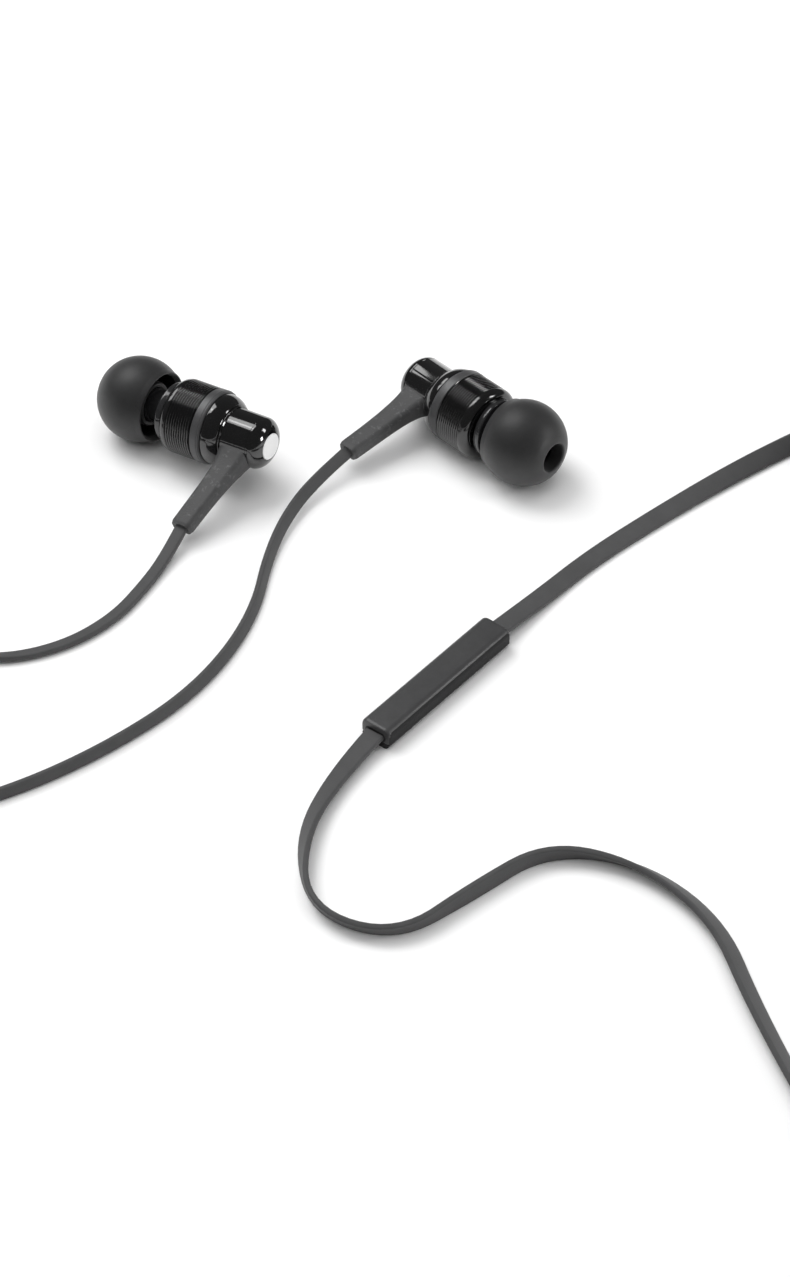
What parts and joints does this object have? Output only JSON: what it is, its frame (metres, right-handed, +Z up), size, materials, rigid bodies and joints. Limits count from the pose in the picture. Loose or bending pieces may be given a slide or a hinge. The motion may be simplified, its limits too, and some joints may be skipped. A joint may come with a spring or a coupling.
{
  "type": "wired earphones",
  "caption": "In-ear earphones with ribbed barrels, silicone ear tips, a flat cable with an in-line remote, a Y-splitter and a 3.5 mm plug.",
  "frame": {"origin": "on the floor, under the middle of the two earbuds' bounding box", "axes": "+Z up off the floor; +X along the pair, from the left earbud to the right one; +Y away from the cable"},
  "size_m": [0.1893, 0.1682, 0.0126],
  "materials": {
    "tip_silicone": "matte silicone",
    "gloss_black_shell": "piano black",
    "screen_steel": "fine woven mesh",
    "band_metal": "satin grey",
    "disc_white": "matte white",
    "relief_rubber": "matte, slightly scuffed",
    "driver_plastic": "moulded black",
    "cone_film": "thin film",
    "coil_copper": "enamelled copper wire",
    "magnet_metal": "nickel plated magnet",
    "yoke_steel": "zinc plated",
    "board_green": "solder mask",
    "pod_plastic": "satin dark grey",
    "button_plastic": "satin",
    "switch_steel": "stamped can",
    "plug_plastic": "satin black",
    "contact_metal": "nickel plated",
    "insulator_plastic": "black",
    "cord_jacket": "matte elastomer",
    "tie_plastic": "soft black strap"
  },
  "bodies": {
    "headset": {"left_nozzle": "gloss_black_shell", "left_nozzle_screen": "screen_steel", "left_barrel": "gloss_black_shell", "left_trim_band": "band_metal", "left_rear_cap": "gloss_black_shell", "left_arm": "gloss_black_shell", "left_end_disc": "disc_white", "left_strain_relief": "relief_rubber", "left_driver_frame": "driver_plastic", "left_magnet": "magnet_metal", "left_top_plate": "yoke_steel", "left_yoke": "yoke_steel", "left_terminal_board": "board_green", "right_nozzle": "gloss_black_shell", "right_nozzle_screen": "screen_steel", "right_barrel": "gloss_black_shell", "right_trim_band": "band_metal", "right_rear_cap": "gloss_black_shell", "right_arm": "gloss_black_shell", "right_end_disc": "disc_white", "right_strain_relief": "relief_rubber", "right_driver_frame": "driver_plastic", "right_magnet": "magnet_metal", "right_top_plate": "yoke_steel", "right_yoke": "yoke_steel", "right_terminal_board": "board_green", "pod_top": "pod_plastic", "pod_bottom": "pod_plastic", "circuit_board": "board_green", "key_switch": "switch_steel", "microphone": "switch_steel", "plug_relief": "relief_rubber", "plug_housing": "plug_plastic", "plug_sleeve": "contact_metal", "plug_ring_two": "contact_metal", "plug_ring_one": "contact_metal", "plug_tip": "contact_metal", "plug_insulators": "insulator_plastic", "splitter": "relief_rubber", "left_branch_run": "cord_jacket", "left_branch_coil": "cord_jacket", "left_branch_tail": "cord_jacket", "right_branch_run": "cord_jacket", "right_branch_coil": "cord_jacket", "right_branch_tail": "cord_jacket", "main_cord": "cord_jacket", "plug_cord_run": "cord_jacket", "plug_cord_coil": "cord_jacket", "plug_cord_tail": "cord_jacket", "coil_ties": "tie_plastic"},
    "left_tip": {"left_ear_tip": "tip_silicone"},
    "left_cone": {"left_diaphragm": "cone_film", "left_voice_coil": "coil_copper"},
    "right_tip": {"right_ear_tip": "tip_silicone"},
    "right_cone": {"right_diaphragm": "cone_film", "right_voice_coil": "coil_copper"},
    "button": {"remote_button": "button_plastic"}
  },
  "joints": [
    {"name": "left_tip_pull", "type": "slide", "parent": "headset", "child": "left_tip", "axis": [-0.8284, 0.5556, -0.0713], "range_m": [0, 0.0075]},
    {"name": "left_cone_stroke", "type": "slide", "parent": "headset", "child": "left_cone", "axis": [-0.8371, 0.5416, -0.0767], "range_m": [-0.00015, 0.00015], "stiffness_N_per_m": 400},
    {"name": "right_tip_pull", "type": "slide", "parent": "headset", "child": "right_tip", "axis": [0.7535, -0.6562, 0.0405], "range_m": [0, 0.0075]},
    {"name": "right_cone_stroke", "type": "slide", "parent": "headset", "child": "right_cone", "axis": [0.6818, -0.7311, 0.0262], "range_m": [-0.00015, 0.00015], "stiffness_N_per_m": 400},
    {"name": "button_press", "type": "slide", "parent": "headset", "child": "button", "axis": [0, 0, 1], "range_m": [0, 0.00025], "stiffness_N_per_m": 1500}
  ]
}
